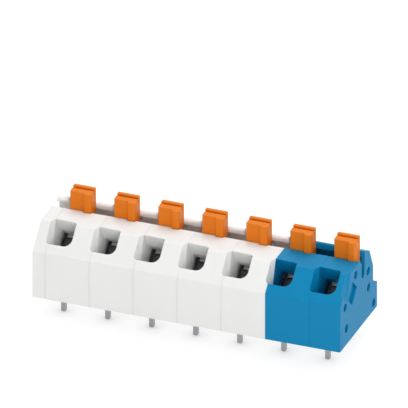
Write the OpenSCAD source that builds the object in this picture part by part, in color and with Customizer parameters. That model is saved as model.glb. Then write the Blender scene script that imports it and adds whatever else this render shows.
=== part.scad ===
// Spring-clamp terminal block for printed circuit boards, wires entering at 45 degrees.
// A row of moulded housings is pegged side by side and closed at the left by an end plate.
// Each housing holds a current bar with two solder pins, a cage-clamp spring and a push button.
// Sizes are in millimetres. Each housing is drawn with x from its left face, y from its front
// face and z from its underside, and placed() moves the row onto the tips of its pins.

/* [Row] */
// Distance from one pole to the next, and width of each housing but the last
pitch = 5.0; // [4.9:0.1:6.0]
// Poles with a white housing
white_poles = 5; // [1:1:6]
// Poles with a blue housing
blue_poles = 2; // [1:1:4]
// Thickness of the plate that closes the row at the left
end_plate_t = 1.45; // [1.2:0.05:2.0]
// Width of the last housing, which needs no spacing on its right
last_housing_w = 3.55; // [3.5:0.05:4.5]

/* [Housing outline] */
// Depth from the front face to the rear foot
housing_depth = 11.08; // [10.9:0.05:12.0]
// Height of the upright front face, where the slanted face starts
front_face_h = 5.48; // [5.3:0.02:5.6]
// Height of the flat top
top_h = 8.07; // [8.0:0.02:8.3]
// Height of the lip behind the buttons above the flat top
lip_rise = 0.64; // [0.4:0.02:0.8]
// Drop of the slope behind the lip
lip_drop = 0.86; // [0.6:0.02:1.0]
// Depth of that slope, from the lip's front face
lip_run = 1.51; // [1.3:0.02:1.6]
// Depth at which the upper rear wall stands
rear_wall_y = 9.89; // [9.6:0.02:10.1]
// Height where the upper rear wall starts to lean forward
rear_wall_h = 5.58; // [5.2:0.02:6.0]
// Height of the rear ledge where it meets the upper rear wall
ledge_inner_h = 3.70; // [3.3:0.02:4.0]
// Height of the rear ledge at its outer edge
ledge_outer_h = 3.03; // [2.6:0.02:3.2]
// Thickness of the housing's floor
floor_t = 0.45; // [0.3:0.05:0.6]

/* [Wire entry] */
// Distance of the wire's centre line from the housing's left face
wire_x = 1.35; // [1.3:0.01:1.4]
// Distance of the wire's centre line below the groove's front edge, square to the wire
wire_drop = 3.33; // [3.28:0.01:3.36]
// Width of the wire hole
wire_hole_w = 2.34; // [2.2:0.02:2.36]
// Height of the wire hole below the wire's centre line
wire_hole_below = 1.2; // [1.0:0.02:1.24]
// Height of the wire hole above the wire's centre line
wire_hole_above = 1.0; // [0.8:0.02:1.06]
// Depth at which the funnel has narrowed to the wire hole
funnel_depth = 3.1; // [2.4:0.05:3.15]
// How far the funnel's mouth is cut into the neighbour on the left
mouth_overcut = 0.32; // [0.2:0.02:0.4]
// Right edge of the funnel's mouth, from the housing's left face
mouth_right = 2.56; // [2.54:0.02:2.9]
// Height of the funnel's mouth below the wire's centre line
mouth_below = 1.5; // [1.3:0.02:1.6]
// Height of the funnel's mouth above the wire's centre line
mouth_above = 1.5; // [1.4:0.02:1.7]
// Radius of the mouth's sharper corners
mouth_r = 0.4; // [0.1:0.05:0.45]
// Radius of the mouth's lower right corner
mouth_round_r = 0.9; // [0.5:0.05:1.0]
// Radius of the same corner where the funnel meets the wire hole
throat_round_r = 0.72; // [0.4:0.02:0.9]
// Depth at which the left flank passes into the neighbour, at the mouth's upper edge
flank_top_depth = 0.45; // [0.3:0.05:0.7]
// The same depth at the mouth's lower edge
flank_foot_depth = 1.9; // [1.5:0.05:1.95]

/* [Button groove] */
// Distance from the front face to the groove's front edge
groove_y = 5.87; // [5.8:0.01:5.95]
// Width of the groove between the flat top and the lip
groove_w = 1.46; // [1.4:0.01:1.5]
// How far the lip's front face reaches down below the flat top
lip_face_drop = 0.2; // [0.1:0.02:0.3]
// How far the groove reaches back under the lip
lip_undercut = 0.75; // [0.5:0.01:0.78]
// Height of the groove's floor between two poles
groove_floor_h = 6.1; // [6.08:0.02:6.6]
// Thickness of the flat top in front of the button
top_t = 0.67; // [0.5:0.01:0.7]
// Width of the slit in the row's right end wall
end_slit_w = 0.88; // [0.7:0.02:1.2]
// Height of the slit's lower end
end_slit_h = 5.49; // [5.3:0.05:6.0]
// Height of the slit's pointed foot, and half of the bevel at its upper end
end_slit_taper = 0.3; // [0.2:0.02:0.4]

/* [Button] */
// Left side of the button from the housing's left face
button_x = 0.6; // [0.56:0.02:0.7]
// Width of the button
button_w = 2.46; // [2.3:0.02:2.5]
// Height of the button's top at its front edge
button_h = 10.2; // [9.8:0.02:10.4]
// Height of the ridge at the rear of the button's top, above that
ridge_rise = 0.22; // [0.1:0.02:0.4]
// Rise of the top from its front edge to the screwdriver slot
top_rise = 0.07; // [0.02:0.01:0.1]
// Thickness of the ridge
ridge_t = 0.44; // [0.3:0.02:0.5]
// Width of the screwdriver slot in front of the ridge
driver_slot_w = 0.2; // [0.16:0.02:0.3]
// Depth of the screwdriver slot
driver_slot_depth = 0.42; // [0.2:0.02:0.6]
// Width of the guide rib at the right of the button's front
rib_w = 0.82; // [0.5:0.02:0.9]
// How far the guide rib stands out from the button's front
rib_out = 0.26; // [0.22:0.01:0.32]
// How far the button's end reaches below the foot, onto the spring's bow
button_reach = 0.6; // [0.5:0.02:0.62]
// Thickness of the foot that holds the button down under the flat top
foot_t = 0.5; // [0.4:0.02:0.52]
// Travel of the button
button_travel = 1.3; // [1.0:0.05:1.3]

/* [Clamp spring] */
// Thickness of the spring strip
spring_t = 0.3; // [0.2:0.02:0.32]
// Width of the spring strip
spring_w = 2.2; // [2.0:0.02:2.3]
// Radius of the bow, to the middle of the strip
bow_r = 0.85; // [0.75:0.01:0.87]
// Gap between the wire guide and the upright leg
leg_gap = 0.3; // [0.26:0.01:0.34]
// How far the upright leg reaches below the wire's centre line
leg_below = 1.55; // [1.3:0.05:1.6]
// Height of the window in the upright leg
window_h = 1.15; // [0.9:0.05:1.2]

/* [Current bar] */
// Thickness of the bar's sheet
bar_t = 0.5; // [0.4:0.02:0.52]
// Width of the bar
bar_w = 2.2; // [2.0:0.02:2.3]
// Width of the tongue that passes through the spring's window
tongue_w = 1.4; // [1.0:0.05:1.6]
// Height of the tongue's lower face above the wire's centre line
tongue_above = 0.6; // [0.55:0.01:0.62]
// Inner radius of the bar's bends
bend_r = 0.25; // [0.15:0.05:0.35]
// Distance of the solder pins' centre from the housing's left face
pin_x = 1.18; // [1.0:0.02:1.5]
// Width of a solder pin
pin_w = 0.5; // [0.4:0.02:0.6]
// Length of a solder pin below the housing
pin_length = 2.5; // [2.0:0.1:4.0]
// Distance of the front solder pins from the front face
front_pin_y = 2.6; // [2.55:0.05:2.8]
// Distance between the front and the rear solder pins
pin_row_spacing = 5.0; // [4.9:0.01:5.02]
// Height of the chamfer round a pin's tip
pin_tip = 0.14; // [0.1:0.02:0.3]

/* [Pegs] */
// Radius of the peg holes in each right face
peg_hole_r = 0.47; // [0.3:0.01:0.5]
// Depth of the peg holes
peg_hole_depth = 0.6; // [0.5:0.02:0.65]
// Depth of the slanted pocket beside the wire hole
pocket_depth = 0.35; // [0.2:0.05:0.45]

/* [Fits] */
// Running clearance round the button
button_clearance = 0.05; // [0.04:0.01:0.07]
// Clearance between a peg and its hole
peg_clearance = 0.04; // [0.02:0.01:0.06]
// Clearance round the metal parts
metal_clearance = 0.05; // [0.03:0.01:0.06]
// Room in front of the button's foot
foot_room = 0.14; // [0.1:0.01:0.15]
// Room below the upright leg when the button is down
leg_spare = 0.25; // [0.1:0.05:0.3]
// Gap between the button's end and the spring at rest
spring_gap = 0.02; // [0.01:0.01:0.05]

/* [Hidden] */
poles = white_poles + blue_poles;
row_length = end_plate_t + (poles - 1) * pitch + last_housing_w;

white_plastic = "#f1efec";
blue_plastic = "#2b88bd";
orange_plastic = "#f0822a";
spring_steel = "#9a9da1";
tinned_copper = "#c3c6c9";

// Slack by which a cut passes the face that it opens
eps = 0.1;
// Reach of the funnel's cut out past the slanted face
mouth_reach = 1.2;
// Thickness of the slabs that the funnel is drawn between
flank_t = 0.05;
// Step round the wire hole where the funnel ends
throat_step = 0.02;
// Steps in a rounded corner of the funnel
corner_steps = 8;
// Facets of a peg and of its hole
peg_fn = 48;
// Facets of the spring's bow
bow_fn = 96;
// Share of the bar's slope that the tongue's root takes up
tongue_root = 0.2;
// Segments in a bend of the current bar
bend_steps = 8;

// The slanted face leans back at 45 degrees, and the wire goes in square to it
slant = 45;
facet_run = top_h - front_face_h;
wire_sum = groove_y + top_h - wire_drop / cos(slant);
wire_y = (wire_sum - front_face_h) / 2;
wire_z = (wire_sum + front_face_h) / 2;

lip_y = groove_y + groove_w;
lip_h = top_h + lip_rise;
lip_foot_h = top_h - lip_face_drop;
undercut_y = lip_y + lip_undercut;

hole_left = wire_x - wire_hole_w / 2;
hole_right = wire_x + wire_hole_w / 2;

// The throat leans like the flank's line, which keeps the funnel's left wall flat
flank_lean = atan((flank_foot_depth - flank_top_depth) / (mouth_below + mouth_above));
throat_below = wire_hole_below / cos(flank_lean) + throat_step;
throat_above = wire_hole_above / cos(flank_lean) + throat_step;
throat_left = hole_left - throat_step;
throat_right = hole_right + throat_step;

button_right = button_x + button_w;
button_front = groove_y + button_clearance;
button_rear = lip_y - button_clearance;
rib_front = button_front - rib_out;
rib_left = button_right - rib_w;
shaft_right = button_right + button_clearance;

rear_pin_y = front_pin_y + pin_row_spacing;
bar_z = floor_t + metal_clearance + bar_t / 2;

spring_left = wire_x - spring_w / 2;
bar_left = wire_x - bar_w / 2;
metal_right = wire_x + max(spring_w, bar_w) / 2 + metal_clearance;

chamber_top = top_h - top_t;
foot_z = chamber_top - metal_clearance - foot_t;
button_end_z = foot_z - button_reach;

// Across the wire (m) and into the block (d), from the wire's centre on the slanted face.
// The bow stands just under the button's end, and the wire hole ends short of the spring's leg
tongue_top = tongue_above + bar_t;
bow_m = tongue_top + spring_t / 2 + bow_r;
bow_z = button_end_z - spring_gap - spring_t / 2 - bow_r;
bow_y = wire_sum + bow_m / cos(slant) - bow_z;
bow_d = (front_face_h + bow_y - bow_z) * cos(slant);
leg_d = bow_d - bow_r - spring_t / 2;
guide_depth = leg_d - leg_gap;
chamber_front = rib_front - foot_room;
chamber_rear = max(rear_pin_y + bar_t / 2, bow_y + bow_r + spring_t / 2) + metal_clearance;
leg_room = leg_below + button_travel + leg_spare;

// Peg places seen on the right end, each from the faces that it stands near
peg_places = [
    [groove_y - 1.19, top_h - 1.06],
    [rear_wall_y - 1.42, rear_wall_h + 0.01],
    [rear_wall_y - 1.38, ledge_inner_h - 0.12],
    [housing_depth - 1.01, 0.94],
    [1.53, front_face_h - 0.81],
    [1.92, 1.96]
];

// Slanted pocket beside the wire hole: across the wire, then into the block
pocket_m = [-1.2, 0.87];
pocket_d = [1.85, 3.62];

// Left face of a pole's housing
function pole_x(pole) = end_plate_t + (pole - 1) * pitch;

// Width of a pole's housing
function pole_w(pole) = pole == poles ? last_housing_w : pitch;

// Point in the side view at m across the wire and d into the block
function wire_point(m, d) = [wire_y + (d + m) * cos(slant), wire_z + (m - d) * sin(slant)];

function unit(v) = v / norm(v);

function left_normal(v) = [-v.y, v.x];

// A quarter of a circle round a centre, anticlockwise from an angle
function quarter(centre, r, from) =
    [for (k = [0:corner_steps])
        let (w = from + 90 * k / corner_steps)
        centre + r * [cos(w), sin(w)]];

// Points of the round that replaces a corner b between a and c, for a centre-line radius r
function round_corner(a, b, c, r) =
    let (
        in = unit(b - a),
        out = unit(c - b),
        turn = atan2(in.x * out.y - in.y * out.x, in * out),
        start = b - in * r * tan(abs(turn) / 2),
        side = sign(turn),
        centre = start + left_normal(in) * r * side
    )
    [for (k = [0:bend_steps])
        let (w = turn * k / bend_steps, s = start - centre)
        centre + [s.x * cos(w) - s.y * sin(w), s.x * sin(w) + s.y * cos(w)]];

// A route with its inner corners rounded
function rounded_route(route, r) =
    [for (k = [0:len(route) - 1])
        each (k == 0 || k == len(route) - 1
            ? [route[k]]
            : round_corner(route[k - 1], route[k], route[k + 1], r))];

// Direction of a route at one of its points
function heading(route, k) =
    unit(
        (k == len(route) - 1 ? [0, 0] : unit(route[k + 1] - route[k]))
        + (k == 0 ? [0, 0] : unit(route[k] - route[k - 1]))
    );

// Outline of a sheet of thickness t that follows a route
function sheet_outline(route, t) =
    let (n = [for (k = [0:len(route) - 1]) left_normal(heading(route, k)) * t / 2])
    concat(
        [for (k = [0:len(route) - 1]) route[k] + n[k]],
        [for (k = [len(route) - 1:-1:0]) route[k] - n[k]]
    );

// The whole row, centred on the board and standing on the tips of its pins
module placed() {
    translate([-row_length / 2, -housing_depth / 2, pin_length]) children();
}

// One pole's pieces, moved to its housing
module at_pole(pole) {
    placed() translate([pole_x(pole), 0, 0]) children();
}

// A side view (y, z) extruded along the row
module along_row(x0, x1) {
    translate([x0, 0, 0]) rotate([90, 0, 90]) linear_extrude(x1 - x0) children();
}

// Children drawn on the wire's axes: x along the row, y across the wire, z out of the block
module at_wire() {
    translate([0, wire_y, wire_z]) rotate([slant, 0, 0]) children();
}

// The same axes in the side view
module at_wire_side() {
    translate([wire_y, wire_z]) rotate(slant) children();
}

module block(from, to) {
    translate(from) cube(to - from);
}

// Side view of a housing or plate, with no cuts
module housing_side() {
    polygon([
        [0, 0],
        [0, front_face_h],
        [facet_run, top_h],
        [lip_y, top_h],
        [lip_y, lip_h],
        [lip_y + lip_run, lip_h - lip_drop],
        [rear_wall_y, rear_wall_h],
        [rear_wall_y, ledge_inner_h],
        [housing_depth, ledge_outer_h],
        [housing_depth, 0]
    ]);
}

// Section of the funnel across the wire, with its lower right corner well rounded
module funnel_section(left, right, below, above, round_r) {
    polygon(concat(
        quarter([right - mouth_r, above - mouth_r], mouth_r, 0),
        quarter([left + mouth_r, above - mouth_r], mouth_r, 90),
        quarter([left + mouth_r, mouth_r - below], mouth_r, 180),
        quarter([right - round_r, round_r - below], round_r, 270)
    ));
}

// Slab on the plane of the left face, down to the line where the funnel's flank crosses it
module flank_slab() {
    rotate([90, 0, 90]) linear_extrude(flank_t)
        polygon([
            [mouth_above, mouth_reach],
            [mouth_above, -flank_top_depth],
            [-mouth_below, -flank_foot_depth],
            [-mouth_below, mouth_reach]
        ]);
}

// The flared wire funnel right of the housing's left face, carried on past the slanted face
module funnel_cut() {
    at_wire() hull() {
        linear_extrude(mouth_reach)
            funnel_section(flank_t, mouth_right, mouth_below, mouth_above, mouth_round_r);
        flank_slab();
        translate([0, 0, -funnel_depth]) rotate([flank_lean, 0, 0]) linear_extrude(flank_t)
            funnel_section(throat_left, throat_right, throat_below, throat_above, throat_round_r);
    }
}

// The funnel's left flank, which is cut into the neighbour's right face
module flank_cut() {
    at_wire() hull() {
        linear_extrude(mouth_reach)
            funnel_section(-mouth_overcut, mouth_round_r, mouth_below, mouth_above, mouth_r);
        flank_slab();
    }
}

// The straight wire hole between the funnel and the clamp chamber
module wire_hole_cut() {
    at_wire()
        block(
            [hole_left, -wire_hole_below, -guide_depth - eps],
            [hole_right, wire_hole_above, throat_above * sin(flank_lean) - funnel_depth]
        );
}

// Side view of the chamber that the clamp and the current bar lie in
module chamber_side() {
    leg_end = wire_point(-leg_room, guide_depth);
    step_y = front_pin_y;
    polygon([
        [chamber_front, chamber_top],
        [chamber_front, wire_z + chamber_front - wire_y - 2 * guide_depth * cos(slant)],
        leg_end,
        [leg_end.x, leg_end.y - leg_gap - metal_clearance],
        [step_y, leg_end.y - leg_gap - metal_clearance],
        [step_y, bar_z + bar_t / 2 + metal_clearance],
        [front_pin_y - bar_t / 2 - metal_clearance, bar_z + bar_t / 2 + metal_clearance],
        [front_pin_y - bar_t / 2 - metal_clearance, floor_t],
        [chamber_rear, floor_t],
        [chamber_rear, chamber_top]
    ]);
}

// The chamber, open at the housing's left face and wider where the button runs
module chamber_cut() {
    foot_low = button_end_z - button_travel - metal_clearance;
    along_row(-eps, metal_right) chamber_side();
    along_row(-eps, shaft_right) intersection() {
        chamber_side();
        translate([chamber_front, foot_low]) square([lip_y - chamber_front, top_h]);
    }
}

// Side view of the groove that the buttons stand in, undercut behind the lip
module groove_side(floor_h) {
    polygon([
        [groove_y, floor_h],
        [groove_y, lip_h + eps],
        [lip_y, lip_h + eps],
        [lip_y, lip_foot_h],
        [undercut_y, lip_foot_h],
        [undercut_y, floor_h]
    ]);
}

// Side view of the slit in the right end wall, bevelled at the front and narrowing at its foot
module end_slit_side() {
    slit_front = lip_y - end_slit_w;
    polygon([
        [groove_y, lip_h + eps],
        [groove_y, top_h],
        [slit_front, top_h - 2 * end_slit_taper],
        [slit_front, end_slit_h + end_slit_taper],
        [lip_y - end_slit_w / 2, end_slit_h],
        [lip_y, end_slit_h + end_slit_taper],
        [lip_y, lip_h + eps]
    ]);
}

// Notch in the flat top's rear edge that the button's rib slides in
module rib_notch_cut() {
    block(
        [rib_left - button_clearance, rib_front - button_clearance, chamber_top - eps],
        [shaft_right, groove_y + eps, top_h + eps]
    );
}

// Peg holes, funnel flank and slanted pocket in a right face at x
module right_face_cuts(x) {
    for (place = peg_places)
        translate([x - peg_hole_depth, place.x, place.y])
            rotate([0, 90, 0]) cylinder(r = peg_hole_r, h = peg_hole_depth + eps, $fn = peg_fn);
    translate([x, 0, 0]) flank_cut();
    at_wire()
        block([x - pocket_depth, pocket_m[0], -pocket_d[1]], [x + eps, pocket_m[1], -pocket_d[0]]);
}

// Pegs on a left face, which stand in the neighbour's holes
module left_face_pegs() {
    peg_length = peg_hole_depth - peg_clearance;
    for (place = peg_places)
        translate([-peg_length, place.x, place.y])
            rotate([0, 90, 0]) cylinder(r = peg_hole_r - peg_clearance, h = peg_length + eps, $fn = peg_fn);
}

// Slots in the floor, open at the left face, for the two solder pins and the front pin's bend
module pin_slot_cuts() {
    half_t = bar_t / 2 + metal_clearance;
    right = pin_x + pin_w / 2 + metal_clearance;
    block([-eps, front_pin_y - half_t, -eps], [right, front_pin_y + half_t + bend_r, floor_t + eps]);
    block([-eps, rear_pin_y - half_t, -eps], [right, rear_pin_y + half_t, floor_t + eps]);
}

// A pole's moulded housing
module housing(pole) {
    w = pole_w(pole);
    last = pole == poles;
    tint = pole > white_poles ? blue_plastic : white_plastic;
    color(tint) at_pole(pole) {
        difference() {
            along_row(0, w) housing_side();
            funnel_cut();
            wire_hole_cut();
            chamber_cut();
            along_row(-eps, shaft_right) groove_side(chamber_top - eps);
            if (last)
                along_row(shaft_right - eps, w + eps) end_slit_side();
            else
                along_row(shaft_right - eps, w + eps) groove_side(groove_floor_h);
            rib_notch_cut();
            pin_slot_cuts();
            right_face_cuts(w);
        }
        left_face_pegs();
    }
}

// Plate that closes the open side of the first housing
module end_plate() {
    color(white_plastic) placed() difference() {
        along_row(0, end_plate_t) housing_side();
        along_row(-eps, end_plate_t + eps) groove_side(groove_floor_h);
        right_face_cuts(end_plate_t);
    }
}

// Side view of the push button: a slab with a screwdriver slot and a ridge behind it
module button_side() {
    slot_rear = button_rear - ridge_t;
    slot_front = slot_rear - driver_slot_w;
    polygon([
        [button_front, button_end_z],
        [button_front, button_h],
        [slot_front, button_h + top_rise],
        [slot_front, button_h - driver_slot_depth],
        [slot_rear, button_h - driver_slot_depth],
        [slot_rear, button_h + ridge_rise],
        [button_rear, button_h + ridge_rise],
        [button_rear, button_end_z]
    ]);
}

// Push button with its guide rib and the foot that catches under the flat top
module button(pole) {
    color(orange_plastic) at_pole(pole) {
        along_row(button_x, button_right) button_side();
        block([rib_left, rib_front, foot_z], [button_right, button_front + eps, button_h]);
        block(
            [button_x, rib_front, foot_z],
            [rib_left + eps, button_front + eps, foot_z + foot_t]
        );
    }
}

// Side view of the spring: upright leg, three quarters of a bow, and the end that lies on the bar
module spring_side() {
    at_wire_side() {
        translate([-leg_below, -leg_d - spring_t]) square([leg_below + bow_m, spring_t]);
        translate([bow_m, -bow_d]) difference() {
            circle(bow_r + spring_t / 2, $fn = bow_fn);
            circle(bow_r - spring_t / 2, $fn = bow_fn);
            translate([-2 * bow_r, 0]) square(2 * bow_r);
        }
        translate([tongue_top, -bow_d]) square([spring_t, bow_r - spring_t]);
    }
}

// Cage-clamp spring, with the window that the bar's tongue and the wire pass through
module clamp_spring(pole) {
    window_w = tongue_w + 2 * metal_clearance;
    color(spring_steel) at_pole(pole) difference() {
        along_row(spring_left, spring_left + spring_w) spring_side();
        at_wire()
            block(
                [wire_x - window_w / 2, tongue_above - metal_clearance, -leg_d - spring_t - metal_clearance],
                [wire_x + window_w / 2, tongue_above - metal_clearance + window_h, eps - leg_d]
            );
    }
}

// Outline of a solder pin of width w from height top down to its chamfered tip
module pin_outline(w, top) {
    polygon([
        [-w / 2, top],
        [-w / 2, pin_tip - pin_length],
        [pin_tip / 2 - w / 2, -pin_length],
        [w / 2 - pin_tip / 2, -pin_length],
        [w / 2, pin_tip - pin_length],
        [w / 2, top]
    ]);
}

// A solder pin's straight shank at depth y, from height top down
module pin_shank(y, top) {
    intersection() {
        translate([pin_x, y + bar_t, 0]) rotate([90, 0, 0]) linear_extrude(2 * bar_t) pin_outline(pin_w, top);
        along_row(pin_x - pin_w, pin_x + pin_w) translate([y, 0]) pin_outline(bar_t, top);
    }
}

// Current bar: a tongue along the wire, bent down the back and forward over the floor, and two pins
module current_bar(pole) {
    r = bend_r + bar_t / 2;
    tip = wire_point(tongue_above + bar_t / 2, guide_depth + metal_clearance);
    shoulder = wire_point(tongue_above + bar_t / 2, leg_d + spring_t + metal_clearance);
    back = [rear_pin_y, tip.y - (rear_pin_y - tip.x)];
    heel = [rear_pin_y, bar_z];
    plate_end = [front_pin_y + pin_w + bend_r, bar_z];
    toe = [front_pin_y, bar_z];
    lance = pin_length + floor_t;
    color(tinned_copper) at_pole(pole) {
        along_row(wire_x - tongue_w / 2, wire_x + tongue_w / 2)
            polygon(sheet_outline([tip, shoulder + (back - tip) * tongue_root], bar_t));
        difference() {
            along_row(bar_left, bar_left + bar_w)
                polygon(sheet_outline(rounded_route([shoulder, back, heel, plate_end], r), bar_t));
            block(
                [pin_x - pin_w / 2 - metal_clearance, rear_pin_y - bar_t / 2 - lance, 0],
                [pin_x + pin_w / 2 + metal_clearance, rear_pin_y + bar_t, bar_z + bar_t / 2 + bend_r]
            );
        }
        along_row(pin_x - pin_w / 2, pin_x + pin_w / 2)
            polygon(sheet_outline(rounded_route([plate_end + [eps, 0], toe, toe - [0, r + eps]], r), bar_t));
        pin_shank(front_pin_y, bar_z - r);
        pin_shank(rear_pin_y, bar_z + bar_t + bend_r);
    }
}

end_plate();
for (pole = [1:poles]) {
    housing(pole);
    button(pole);
    clamp_spring(pole);
    current_bar(pole);
}
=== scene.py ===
"""Dresses a seven-pole spring-clamp terminal block for circuit boards.

Five white and two blue housings stand in a row behind a white end plate. Each housing holds an
orange push button, a bent steel clamp spring and a tinned copper bar with two solder pins.
Lengths are in metres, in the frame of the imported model, unless their names end in mm.
"""
import logging
import math
from collections.abc import Callable
from dataclasses import dataclass
from enum import Enum

import bmesh
import bpy
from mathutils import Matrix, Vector


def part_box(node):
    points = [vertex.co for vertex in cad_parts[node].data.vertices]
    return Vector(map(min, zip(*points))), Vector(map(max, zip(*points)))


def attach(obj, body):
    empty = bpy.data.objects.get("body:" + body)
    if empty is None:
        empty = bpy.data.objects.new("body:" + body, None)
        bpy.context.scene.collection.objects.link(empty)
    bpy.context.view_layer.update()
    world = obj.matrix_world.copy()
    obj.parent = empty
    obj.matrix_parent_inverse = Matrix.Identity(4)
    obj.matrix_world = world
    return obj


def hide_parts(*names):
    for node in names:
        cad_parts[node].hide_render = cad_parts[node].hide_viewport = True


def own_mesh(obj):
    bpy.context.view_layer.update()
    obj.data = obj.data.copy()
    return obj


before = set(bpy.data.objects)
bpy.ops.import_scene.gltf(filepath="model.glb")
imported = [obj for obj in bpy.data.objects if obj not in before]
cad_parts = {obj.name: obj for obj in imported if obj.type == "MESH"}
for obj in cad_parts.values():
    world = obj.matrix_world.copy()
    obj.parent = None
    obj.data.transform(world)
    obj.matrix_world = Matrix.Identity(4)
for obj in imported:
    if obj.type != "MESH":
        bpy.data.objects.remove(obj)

log = logging.getLogger("terminal_block")

MM = 0.001
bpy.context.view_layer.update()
WHITE_POLES = 5
BLUE_POLES = 2
POLES = WHITE_POLES + BLUE_POLES
# Height of the housings' underside above the floor, where the solder pins come out
UNDERSIDE_MM = 2.5
# A point nearer than this to a plane lies in it
NEAR_MM = 0.01
# Shares of an edge's length along an axis: more than the first is parallel to it, and less than
# the second is crosswise
PARALLEL, CROSSWISE = 0.9995, 0.5
# Nearly all of Blender's noise lies between these values
NOISE_LOW, NOISE_HIGH = 0.3, 0.7


def linear(hex_colour: str) -> tuple[float, float, float, float]:
    """Turns an sRGB hex colour into linear light, by the standard's own curve.

    Args:
        hex_colour: colour as "#rrggbb".

    Returns:
        Red, green, blue and an alpha of one.
    """
    channels = [int(hex_colour[k:k + 2], 16) / 255 for k in (1, 3, 5)]
    return (*[c / 12.92 if c <= 0.04045 else ((c + 0.055) / 1.055) ** 2.4 for c in channels], 1.0)


def per_metre(size_mm: float) -> float:
    """Gives a texture's scale for features of a size in millimetres."""
    return 1 / (size_mm * MM)


def add_node(tree: bpy.types.NodeTree, kind: str, settings: dict | None = None,
             links: dict | None = None) -> bpy.types.Node:
    """Adds one shader node with its settings and the links that feed it.

    Args:
        tree: node tree of the material or world.
        kind: Blender's name for the node's type.
        settings: values by socket name or number, or by property name.
        links: output sockets by the name or number of the input that they feed.

    Returns:
        The new node.
    """
    node = tree.nodes.new(kind)
    for key, value in (settings or {}).items():
        if isinstance(key, int) or key in node.inputs:
            node.inputs[key].default_value = value
        else:
            setattr(node, key, value)
    for key, source in (links or {}).items():
        tree.links.new(source, node.inputs[key])
    return node


def blank_material(name: str) -> tuple[bpy.types.Material, bpy.types.NodeTree]:
    """Makes a material with an empty node tree.

    Args:
        name: the material's name.

    Returns:
        The material and its tree.
    """
    material = bpy.data.materials.new(name)
    material.use_nodes = True
    material.node_tree.nodes.clear()
    return material, material.node_tree


@dataclass(frozen=True)
class MouldedPolyamide:
    """Injection-moulded polyamide from a spark-eroded mould, slightly translucent."""

    name: str
    slot: str
    colour: str
    shade: str
    # Share of the light that goes in under the skin, and how far it goes
    glow: float
    glow_depth_mm: float = 0.5
    ior: float = 1.53
    sheen: float = 0.2
    # The roughness, and how far the grain takes it down and up
    roughness: float = 0.46
    smoother: float = 0.05
    rougher: float = 0.06
    cloud_mm: float = 3.5
    # The eroded grain is about 0.05 mm, drawn coarser here so that it shows
    grain_mm: float = 0.14
    grain_height_mm: float = 0.006
    grain_strength: float = 0.35

    def build(self) -> bpy.types.Material:
        """Builds the finish: an even satin skin with faint clouds of pigment and a fine grain.

        Returns:
            The material.
        """
        material, tree = blank_material(self.name)
        place = add_node(tree, "ShaderNodeTexCoord")
        clouds = add_node(tree, "ShaderNodeTexNoise",
                          {"Scale": per_metre(self.cloud_mm), "Detail": 3.0, "Roughness": 0.55},
                          {"Vector": place.outputs["Object"]})
        colour = add_node(tree, "ShaderNodeMix",
                          {"data_type": "RGBA", 6: linear(self.colour), 7: linear(self.shade)},
                          {0: clouds.outputs["Fac"]})
        grain = add_node(tree, "ShaderNodeTexNoise",
                         {"Scale": per_metre(self.grain_mm), "Detail": 2.0, "Roughness": 0.6},
                         {"Vector": place.outputs["Object"]})
        gloss = add_node(tree, "ShaderNodeMapRange",
                         {"From Min": NOISE_LOW, "From Max": NOISE_HIGH,
                          "To Min": self.roughness - self.smoother,
                          "To Max": self.roughness + self.rougher},
                         {"Value": grain.outputs["Fac"]})
        bump = add_node(tree, "ShaderNodeBump",
                        {"Strength": self.grain_strength, "Distance": self.grain_height_mm * MM},
                        {"Height": grain.outputs["Fac"]})
        shader = add_node(tree, "ShaderNodeBsdfPrincipled",
                          {"IOR": self.ior, "Specular IOR Level": self.sheen,
                           "Subsurface Weight": self.glow, "Subsurface Radius": (1.0, 1.0, 1.0),
                           "Subsurface Scale": self.glow_depth_mm * MM},
                          {"Base Color": colour.outputs[2], "Roughness": gloss.outputs["Result"],
                           "Normal": bump.outputs["Normal"]})
        add_node(tree, "ShaderNodeOutputMaterial", links={"Surface": shader.outputs["BSDF"]})
        return material


@dataclass(frozen=True)
class RolledMetal:
    """Thin metal strip, rolled along its length and blanked."""

    name: str
    slot: str
    colour: str
    shade: str
    # The roughness, the streaks' width, and how they are drawn out along each axis
    roughness: float
    streak_mm: float
    streak_stretch: tuple[float, float, float]
    # How far the streaks take the roughness down and up
    smoother: float = 0.08
    rougher: float = 0.1
    streak_height_mm: float = 0.004
    streak_strength: float = 0.25
    cloud_mm: float = 1.2

    def build(self) -> bpy.types.Material:
        """Builds the finish: a soft metal sheen with fine rolling streaks and dull clouds.

        Returns:
            The material.
        """
        material, tree = blank_material(self.name)
        place = add_node(tree, "ShaderNodeTexCoord")
        along = add_node(tree, "ShaderNodeMapping", {"Scale": self.streak_stretch},
                         {"Vector": place.outputs["Object"]})
        streaks = add_node(tree, "ShaderNodeTexNoise",
                           {"Scale": per_metre(self.streak_mm), "Detail": 4.0, "Roughness": 0.65},
                           {"Vector": along.outputs["Vector"]})
        clouds = add_node(tree, "ShaderNodeTexNoise",
                          {"Scale": per_metre(self.cloud_mm), "Detail": 3.0},
                          {"Vector": place.outputs["Object"]})
        colour = add_node(tree, "ShaderNodeMix",
                          {"data_type": "RGBA", 6: linear(self.colour), 7: linear(self.shade)},
                          {0: clouds.outputs["Fac"]})
        gloss = add_node(tree, "ShaderNodeMapRange",
                         {"From Min": NOISE_LOW, "From Max": NOISE_HIGH,
                          "To Min": self.roughness - self.smoother,
                          "To Max": self.roughness + self.rougher},
                         {"Value": streaks.outputs["Fac"]})
        bump = add_node(tree, "ShaderNodeBump",
                        {"Strength": self.streak_strength, "Distance": self.streak_height_mm * MM},
                        {"Height": streaks.outputs["Fac"]})
        shader = add_node(tree, "ShaderNodeBsdfPrincipled", {"Metallic": 1.0},
                          {"Base Color": colour.outputs[2], "Roughness": gloss.outputs["Result"],
                           "Normal": bump.outputs["Normal"]})
        add_node(tree, "ShaderNodeOutputMaterial", links={"Surface": shader.outputs["BSDF"]})
        return material


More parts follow.
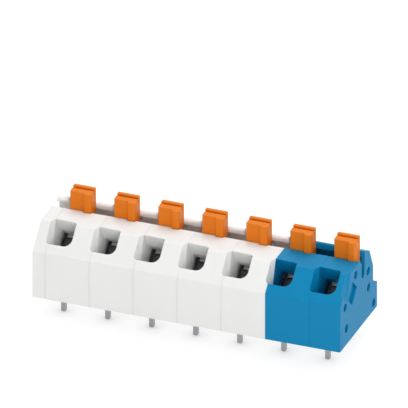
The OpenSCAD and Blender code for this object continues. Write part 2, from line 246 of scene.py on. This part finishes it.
class Finish(Enum):
    """Finishes of the block's pieces."""

    # White housings: the eroded mould leaves an even satin that hardly mirrors anything
    WHITE = MouldedPolyamide("polyamide_moulded_white", "white_polyamide", "#E4E4E3", "#E0E0DE",
                             glow=0.15, glow_depth_mm=0.6)
    # Painted light: a lighter copy of the white, with a deeper glow, on the lip behind the buttons,
    # so that it looks brighter than the walls
    WHITE_THIN = MouldedPolyamide("polyamide_moulded_white_painted_light", "white_polyamide", "#F8F8F7",
                                  "#F4F4F2", glow=1.0, glow_depth_mm=1.5)
    # Strong blue pigment: it stops the light in the skin and leaves only a faint sheen
    BLUE = MouldedPolyamide("polyamide_moulded_blue", "blue_polyamide", "#0580AF", "#027AA9",
                            glow=0.05, sheen=0.13)
    # Orange buttons: the same satin, with a warm light in thin edges
    ORANGE = MouldedPolyamide("polyamide_moulded_orange", "orange_polyamide", "#DC770A", "#D67006",
                              glow=0.06)
    # Spring steel: dark grey strip with a sheen that is drawn out by the rolling
    STEEL = RolledMetal("spring_steel_rolled", "spring_steel", "#56595B", "#474A4C", 0.34, 0.06,
                        (1.0, 0.08, 0.08))
    # Tin on copper: pale grey and soft, with dull clouds on the pins
    TIN = RolledMetal("copper_tin_plated", "tinned_copper", "#A9ABAD", "#97999B", 0.36, 0.08,
                      (1.0, 1.0, 0.1))


@dataclass(frozen=True)
class EdgeRound:
    """A small round on the edges that a test picks by their middle in mm and their direction."""

    width_mm: float
    picks: Callable[[Vector, Vector], bool]


def every_edge(middle: Vector, along: Vector) -> bool:
    """Picks every edge."""
    return True


@dataclass
class Pieces:
    """Common work of the sub-assemblies: rounding, dressing and placing a piece."""

    materials: dict[Finish, bpy.types.Material]
    round_steps: int = 3
    # Edges shorter than this are dropped
    speck_mm: float = 0.002
    # Widest angles between two faces that are joined into one, that count as one flat patch, and
    # that are shaded as one surface
    join_deg: float = 0.8
    patch_deg: float = 1.0
    smooth_deg: float = 38.0

    def marked(self, node: str, rounds: list[EdgeRound], sharp_deg: float, weld_mm: float,
               split: bool) -> bpy.types.Mesh:
        """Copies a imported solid's mesh, joins its flat faces and marks the edges to round.

        Args:
            node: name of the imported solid.
            rounds: the rounds; an edge takes the first one that picks it.
            sharp_deg: least angle between two faces at an edge that is rounded.
            weld_mm: points nearer than this become one.
            split: whether hooked faces, such as a bow's side, are first cut into plain ones.

        Returns:
            The new mesh, with each edge's share of the widest round as its weight.
        """
        widest = max(rule.width_mm for rule in rounds)
        bm = bmesh.new()
        bm.from_mesh(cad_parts[node].data)
        bmesh.ops.remove_doubles(bm, verts=bm.verts, dist=weld_mm * MM)
        bmesh.ops.dissolve_degenerate(bm, dist=self.speck_mm * MM, edges=bm.edges)
        bmesh.ops.dissolve_limit(bm, angle_limit=math.radians(self.join_deg), verts=bm.verts,
                                 edges=bm.edges)
        if split:
            bmesh.ops.connect_verts_concave(bm, faces=bm.faces)
        bm.normal_update()
        weight = bm.edges.layers.float.new("bevel_weight_edge")
        for edge in bm.edges:
            if len(edge.link_faces) != 2 or edge.calc_face_angle(0.0) < math.radians(sharp_deg):
                continue
            first, last = edge.verts[0].co, edge.verts[1].co
            middle, along = (first + last) / 2 / MM, (last - first).normalized()
            for rule in rounds:
                if rule.picks(middle, along):
                    edge[weight] = rule.width_mm / widest
                    break
        mesh = bpy.data.meshes.new(node)
        bm.to_mesh(mesh)
        bm.free()
        return mesh

    def rounded(self, node: str, rounds: list[EdgeRound], sharp_deg: float = 28.0,
                weld_mm: float = 0.002, split: bool = False) -> bpy.types.Mesh:
        """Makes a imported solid's mesh with rounded edges and even shading.

        Args:
            node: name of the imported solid.
            rounds: the rounds; an edge takes the first one that picks it.
            sharp_deg: least angle between two faces at an edge that is rounded.
            weld_mm: points nearer than this become one.
            split: whether hooked faces, such as a bow's side, are first cut into plain ones.

        Returns:
            The new mesh, of triangles.
        """
        mesh = self.marked(node, rounds, sharp_deg, weld_mm, split)
        shape = bpy.data.objects.new("rounding", mesh)
        bpy.context.scene.collection.objects.link(shape)
        bevel = shape.modifiers.new("edge_round", "BEVEL")
        bevel.width = max(rule.width_mm for rule in rounds) * MM
        bevel.segments = self.round_steps
        bevel.limit_method = "WEIGHT"
        bevel.use_clamp_overlap = False
        bevel.loop_slide = False
        shape.modifiers.new("flat_faces", "TRIANGULATE")
        ready = shape.evaluated_get(bpy.context.evaluated_depsgraph_get())
        finished = bpy.data.meshes.new_from_object(ready)
        finished.name = node
        bpy.data.objects.remove(shape)
        # A round may overshoot by a thousandth of a millimetre where three edges meet
        low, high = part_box(node)
        for corner in finished.vertices:
            corner.co = [min(max(c, a), b) for c, a, b in zip(corner.co, low, high)]
        self.even_shading(finished)
        return finished

    def even_shading(self, mesh: bpy.types.Mesh) -> None:
        """Shades flat faces flat and lets the rounds and blends between them turn evenly.

        Args:
            mesh: the triangulated mesh, whose corner normals are set.
        """
        bm = bmesh.new()
        bm.from_mesh(mesh)
        bm.normal_update()
        area = self.patch_areas(bm)
        normals = [self.corner_normal(corner, area) for face in bm.faces for corner in face.loops]
        bm.free()
        for face in mesh.polygons:
            face.use_smooth = True
        mesh.normals_split_custom_set(normals)

    def patch_areas(self, bm: bmesh.types.BMesh) -> list[float]:
        """Measures the flat patch that each face belongs to.

        Args:
            bm: the triangulated mesh.

        Returns:
            The area of each face's patch, in the order of the faces.
        """
        flat = math.radians(self.patch_deg)
        area = [0.0] * len(bm.faces)
        met: set[int] = set()
        for start in bm.faces:
            if start.index in met:
                continue
            met.add(start.index)
            patch, queue = [start], [start]
            while queue:
                for edge in queue.pop().edges:
                    for face in edge.link_faces:
                        if face.index not in met and face.normal.angle(start.normal, 0.0) < flat:
                            met.add(face.index)
                            patch.append(face)
                            queue.append(face)
            total = sum(face.calc_area() for face in patch)
            for face in patch:
                area[face.index] = total
        return area

    def corner_normal(self, corner: bmesh.types.BMLoop, area: list[float]) -> Vector:
        """Gives the direction that one corner of a face is shaded in.

        Args:
            corner: the corner.
            area: the area of each face's flat patch.

        Returns:
            The direction, which leans to the largest of the patches that meet smoothly there.
        """
        smooth = math.radians(self.smooth_deg)
        reached, queue = {corner.face}, [corner.face]
        turn = corner.face.normal * (area[corner.face.index] / MM ** 2) ** 2
        while queue:
            for edge in queue.pop().edges:
                if corner.vert not in edge.verts or edge.calc_face_angle(math.pi) > smooth:
                    continue
                for face in edge.link_faces:
                    if face not in reached:
                        reached.add(face)
                        queue.append(face)
                        turn += face.normal * (area[face.index] / MM ** 2) ** 2
        return turn.normalized() if turn.length > 0 else corner.face.normal.copy()

    def place(self, mesh: bpy.types.Mesh, name: str, node: str, body: str,
              finish: Finish) -> bpy.types.Object:
        """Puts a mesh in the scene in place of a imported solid.

        Args:
            mesh: the finished mesh, in place.
            name: the piece's name.
            node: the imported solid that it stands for.
            body: the body that it moves with.
            finish: its finish.

        Returns:
            The piece.
        """
        piece = bpy.data.objects.new(name, mesh)
        bpy.context.scene.collection.objects.link(piece)
        mesh.materials.clear()
        mesh.materials.append(self.materials[finish])
        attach(piece, body)
        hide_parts(node)
        log.info("%s: %d faces", name, len(mesh.polygons))
        return piece


@dataclass
class HousingRow(Pieces):
    """The end plate and the seven moulded housings."""

    # Rounds on the outline's long edges, on the lip behind the buttons, on the outline of the
    # row's ends, on the joints, and on openings in the outer faces
    outline_mm: float = 0.11
    lip_mm: float = 0.38
    row_end_mm: float = 0.1
    joint_mm: float = 0.032
    opening_mm: float = 0.035
    # Points nearer than this become one, and least angle at an edge that is rounded
    weld_mm: float = 0.015
    sharp_deg: float = 20.0
    # The poles' pitch, and where along the row the first joint is
    pitch_mm: float = 5.0
    first_joint_mm: float = -16.05
    # Depth of the lip's front, of the row's front and of where its outer rear starts, height of
    # the flat top, the slanted face's height less its depth, and the row's half length
    lip_y_mm: float = 1.79
    front_y_mm: float = -5.54
    rear_y_mm: float = 3.5
    top_mm: float = 10.57
    facet_mm: float = 13.52
    end_mm: float = 17.5

    def on_joint(self, middle: Vector, along: Vector) -> bool:
        """Tells the edges that lie in the plane of a joint between two mouldings.

        Args:
            middle: the edge's middle in millimetres.
            along: its direction, of length one.

        Returns:
            Whether it is such an edge.
        """
        step = (middle.x - self.first_joint_mm) / self.pitch_mm
        apart_mm = abs(step - round(step)) * self.pitch_mm
        return abs(along.x) < CROSSWISE and 0 <= round(step) < POLES and apart_mm < NEAR_MM

    def on_outline(self, middle: Vector, along: Vector) -> bool:
        """Tells the long edges of the outer outline above the underside.

        Args:
            middle: the edge's middle in millimetres.
            along: its direction, of length one.

        Returns:
            Whether it is such an edge.
        """
        front = middle.y < self.front_y_mm + NEAR_MM
        outer = front or middle.z > self.top_mm - NEAR_MM or middle.y > self.rear_y_mm
        return abs(along.x) > PARALLEL and middle.z > UNDERSIDE_MM + NEAR_MM and outer

    def on_lip(self, middle: Vector, along: Vector) -> bool:
        """Tells the upper front edge of the lip behind the buttons."""
        in_front = abs(middle.y - self.lip_y_mm) < NEAR_MM
        return abs(along.x) > PARALLEL and in_front and middle.z > self.top_mm

    def on_lip_end(self, middle: Vector, along: Vector) -> bool:
        """Tells the edges round the lip's two ends, left sharp so that its rounds run out there."""
        return abs(along.x) < CROSSWISE and middle.z > self.top_mm + NEAR_MM

    def on_upper_face(self, middle: Vector, along: Vector) -> bool:
        """Tells the edges that lie in the flat top or the slanted face."""
        slant_mm = middle.z - middle.y - self.facet_mm
        return abs(middle.z - self.top_mm) < NEAR_MM or abs(slant_mm) < NEAR_MM

    def on_row_end(self, middle: Vector, along: Vector) -> bool:
        """Tells the edges round the front, the slanted face and the top at the row's ends."""
        outer = middle.y < self.front_y_mm + NEAR_MM or self.on_upper_face(middle, along)
        return abs(middle.x) > self.end_mm - NEAR_MM and outer

    def on_opening(self, middle: Vector, along: Vector) -> bool:
        """Tells the edges of openings in the upper faces or in an end of the row."""
        return self.on_upper_face(middle, along) or abs(middle.x) > self.end_mm - NEAR_MM

    def rounds(self) -> list[EdgeRound]:
        """Gives the rounds of the mouldings in the order that they are tried.

        Returns:
            The rounds.
        """
        return [EdgeRound(0.0, self.on_lip_end), EdgeRound(self.joint_mm, self.on_joint),
                EdgeRound(self.lip_mm, self.on_lip), EdgeRound(self.outline_mm, self.on_outline),
                EdgeRound(self.row_end_mm, self.on_row_end),
                EdgeRound(self.opening_mm, self.on_opening)]

    def build(self) -> None:
        """Builds the plate and the housings."""
        nodes = ["end_plate"] + [f"housing_{pole}" for pole in range(1, POLES + 1)]
        for place, node in enumerate(nodes):
            finish = Finish.WHITE if place <= WHITE_POLES else Finish.BLUE
            mesh = self.rounded(node, self.rounds(), self.sharp_deg, self.weld_mm)
            self.place(mesh, f"{node}_moulding", node, "terminal_row", finish)
            if finish is Finish.WHITE:
                self.paint_lip_lighter(mesh)

    def paint_lip_lighter(self, mesh: bpy.types.Mesh) -> None:
        """Gives the faces of a white moulding's lip a lighter copy of the white: painted light that
        brightens the lip.

        Args:
            mesh: the moulding's mesh, which has one material.
        """
        # Painted light: the lip's faces take the second, lighter white
        mesh.materials.append(self.materials[Finish.WHITE_THIN])
        for face in mesh.polygons:
            middle = face.center / MM
            on_lip = middle.z > self.top_mm and middle.y > self.lip_y_mm - NEAR_MM
            face.material_index = int(on_lip)


@dataclass
class PushButtons(Pieces):
    """The seven push buttons."""

    # Rounds on the rib's outer corner, on the front's left corner, and on all else
    rib_mm: float = 0.26
    corner_mm: float = 0.1
    edge_mm: float = 0.06

    def rounds(self, node: str) -> list[EdgeRound]:
        """Gives the rounds of a button in the order that they are tried.

        Args:
            node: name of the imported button.

        Returns:
            The rounds.
        """
        low, high = (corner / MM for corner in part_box(node))

        def on_rib(middle: Vector, along: Vector) -> bool:
            """Tells the upright edge at the rib's outer corner."""
            outer = high.x - middle.x < NEAR_MM and middle.y - low.y < NEAR_MM
            return abs(along.z) > PARALLEL and outer

        def on_left(middle: Vector, along: Vector) -> bool:
            """Tells the upright edge at the left of the button's front."""
            outer = middle.x - low.x < NEAR_MM and middle.y < (low.y + high.y) / 2
            return abs(along.z) > PARALLEL and outer

        return [EdgeRound(self.rib_mm, on_rib), EdgeRound(self.corner_mm, on_left),
                EdgeRound(self.edge_mm, every_edge)]

    def build(self) -> None:
        """Builds the buttons."""
        for pole in range(1, POLES + 1):
            node = f"button_{pole}"
            mesh = self.rounded(node, self.rounds(node))
            self.place(mesh, f"{node}_moulding", node, f"push_button_{pole}", Finish.ORANGE)


@dataclass
class Clamps(Pieces):
    """The clamp springs and the current bars with their solder pins."""

    edge_mm: float = 0.03
    # Points of a bar nearer than this become one
    bar_weld_mm: float = 0.0004
    # Height that a spring is pressed towards, and the share of its height that is left
    squash_foot_mm: float = 5.65
    squash_keep: float = 0.58

    def on_pin(self, middle: Vector, along: Vector) -> bool:
        """Tells the edges of the solder pins below the housings."""
        return middle.z < UNDERSIDE_MM

    def build(self) -> None:
        """Builds the bars and the springs."""
        pin_rounds = [EdgeRound(self.edge_mm, self.on_pin)]
        strip_rounds = [EdgeRound(self.edge_mm, every_edge)]
        for pole in range(1, POLES + 1):
            bar = f"current_bar_{pole}"
            mesh = self.rounded(bar, pin_rounds, weld_mm=self.bar_weld_mm)
            self.place(mesh, f"{bar}_stamping", bar, "terminal_row", Finish.TIN)
            spring = f"clamp_spring_{pole}"
            mesh = self.rounded(spring, strip_rounds, split=True)
            piece = self.place(mesh, f"{spring}_strip", spring, "terminal_row", Finish.STEEL)
            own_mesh(piece)


@dataclass(frozen=True)
class Lamp:
    """A square soft lamp: where it hangs, the length of its side, and its power."""

    name: str
    spot: tuple[float, float, float]
    side: float
    watts: float

    def hang(self, aim: Vector) -> None:
        """Hangs the lamp.

        Args:
            aim: the point that it shines at.
        """
        data = bpy.data.lights.new(self.name, "AREA")
        data.shape = "SQUARE"
        data.size = self.side
        data.energy = self.watts
        lamp = bpy.data.objects.new(self.name, data)
        lamp.location = self.spot
        lamp.rotation_mode = "QUATERNION"
        lamp.rotation_quaternion = (aim - Vector(self.spot)).to_track_quat("-Z", "Y")
        bpy.context.scene.collection.objects.link(lamp)


@dataclass
class Studio:
    """White floor, soft light and the camera of the photograph."""

    # The camera's angles in degrees, the width of what it sees, its distance, and the nearest and
    # farthest that it shows
    azimuth: float = 20.77
    elevation: float = 28.67
    width_mm: float = 43.35
    distance: float = 0.3
    clip: tuple[float, float] = (0.001, 5.0)
    # The row's lower right front corner, and its place right of and below the picture's centre
    corner_mm: tuple[float, float, float] = (17.5, -5.54, UNDERSIDE_MM)
    corner_right_mm: float = 14.472
    corner_below_mm: float = 15.810
    # Strength of the light from all round, and half the floor's side
    world_level: float = 0.68
    floor_half: float = 1.0
    # The floor's own light where it is seen, and its shade close to the pins: how near they count,
    # the openness at which the shade is deepest, and the share of the light that is left there
    floor_glow: float = 0.88
    contact_mm: float = 1.8
    contact_open: float = 0.7
    contact_share: float = 0.75
    # The paper's colour as it lights the block, and as it is seen beside its own light
    bounce_tone: str = "#F4F4F4"
    seen_tone: str = "#747474"
    aim: tuple[float, float, float] = (0.0, 0.0, 0.006)
    # The front lamp hangs low, so that the lip is lit and the gap under it stays dark
    lamps: tuple[Lamp, ...] = (
        Lamp("lamp_front", (0.12, -0.28, 0.05), 0.14, 0.265),
        Lamp("lamp_overhead", (0.0, 0.10, 0.26), 0.2, 0.345),
        Lamp("lamp_right", (0.2, -0.06, 0.2), 0.14, 0.12),
        Lamp("lamp_left", (-0.28, 0.09, 0.09), 0.14, 0.06))

    def build(self) -> None:
        """Builds the camera, the floor, the world and the lamps."""
        self.camera()
        self.floor()
        self.world()
        for lamp in self.lamps:
            lamp.hang(Vector(self.aim))

    def camera(self) -> None:
        """Sets an orthographic camera at the angle of the photograph."""
        a, e = math.radians(self.azimuth), math.radians(self.elevation)
        right = Vector((math.cos(a), math.sin(a), 0))
        up = Vector((-math.sin(a) * math.sin(e), math.cos(a) * math.sin(e), math.cos(e)))
        back = right.cross(up)
        centre = Vector(self.corner_mm) - self.corner_right_mm * right + self.corner_below_mm * up
        data = bpy.data.cameras.new("camera")
        data.type = "ORTHO"
        data.ortho_scale = self.width_mm * MM
        data.clip_start, data.clip_end = self.clip
        camera = bpy.data.objects.new("camera", data)
        camera.location = centre * MM + back * self.distance
        camera.rotation_mode = "QUATERNION"
        camera.rotation_quaternion = (-back).to_track_quat("-Z", "Y")
        bpy.context.scene.collection.objects.link(camera)
        bpy.context.scene.camera = camera

    def seen(self, tree: bpy.types.NodeTree) -> bpy.types.NodeSocket:
        """Adds the test for rays that show a surface as it is, and not the light that it gives.

        Args:
            tree: node tree of the material or world.

        Returns:
            A socket, one for rays from the camera, off metal or through glass, and else zero.
        """
        path = add_node(tree, "ShaderNodeLightPath")
        shown = add_node(tree, "ShaderNodeMath", {"operation": "MAXIMUM"},
                         {0: path.outputs["Is Camera Ray"], 1: path.outputs["Is Glossy Ray"]})
        through = add_node(tree, "ShaderNodeMath", {"operation": "MAXIMUM"},
                           {0: shown.outputs["Value"], 1: path.outputs["Is Transmission Ray"]})
        return through.outputs["Value"]

    def floor(self) -> None:
        """Lays a floor of white paper."""
        half = self.floor_half
        mesh = bpy.data.meshes.new("floor")
        mesh.from_pydata([(-half, -half, 0), (half, -half, 0), (half, half, 0), (-half, half, 0)],
                         [], [(0, 1, 2, 3)])
        mesh.materials.append(self.paper())
        floor = bpy.data.objects.new("floor", mesh)
        bpy.context.scene.collection.objects.link(floor)

    def paper(self) -> bpy.types.Material:
        """Makes the floor's paper, matt and white, which keeps the block's shadow.

        Returns:
            The material.
        """
        material, tree = blank_material("paper_white")
        seen = self.seen(tree)
        # Shade close to the pins' feet only, since the block itself stands clear of the floor
        near = add_node(tree, "ShaderNodeAmbientOcclusion",
                        {"samples": 16, "Distance": self.contact_mm * MM})
        shade = add_node(tree, "ShaderNodeMapRange",
                         {"From Min": self.contact_open,
                          "To Min": self.contact_share * self.floor_glow,
                          "To Max": self.floor_glow},
                         {"Value": near.outputs["AO"]})
        glow = add_node(tree, "ShaderNodeMath", {"operation": "MULTIPLY"},
                        {0: seen, 1: shade.outputs["Result"]})
        tone = add_node(tree, "ShaderNodeMix",
                        {"data_type": "RGBA", 6: linear(self.bounce_tone),
                         7: linear(self.seen_tone)},
                        {0: seen})
        matt = add_node(tree, "ShaderNodeBsdfDiffuse", links={"Color": tone.outputs[2]})
        light = add_node(tree, "ShaderNodeEmission", links={"Strength": glow.outputs["Value"]})
        both = add_node(tree, "ShaderNodeAddShader",
                        links={0: matt.outputs["BSDF"], 1: light.outputs["Emission"]})
        add_node(tree, "ShaderNodeOutputMaterial", links={"Surface": both.outputs["Shader"]})
        return material

    def world(self) -> None:
        """Surrounds the set with an even white light, white to the camera and in reflections."""
        world = bpy.data.worlds.new("white_tent")
        world.use_nodes = True
        tree = world.node_tree
        tree.nodes.clear()
        level = add_node(tree, "ShaderNodeMapRange", {"To Min": self.world_level, "To Max": 1.0},
                         {"Value": self.seen(tree)})
        tent = add_node(tree, "ShaderNodeBackground", {"Color": (1, 1, 1, 1)},
                        {"Strength": level.outputs["Result"]})
        add_node(tree, "ShaderNodeOutputWorld", links={"Surface": tent.outputs["Background"]})
        bpy.context.scene.world = world


def main() -> None:
    """Builds the studio and the block."""
    logging.basicConfig(level=logging.INFO, format="%(name)s: %(message)s")
    bpy.context.scene.view_settings.view_transform = "Standard"
    Studio().build()
    materials = {finish: finish.value.build() for finish in Finish}
    for group in (HousingRow, PushButtons, Clamps):
        group(materials).build()


if __name__ == "__main__":
    main()
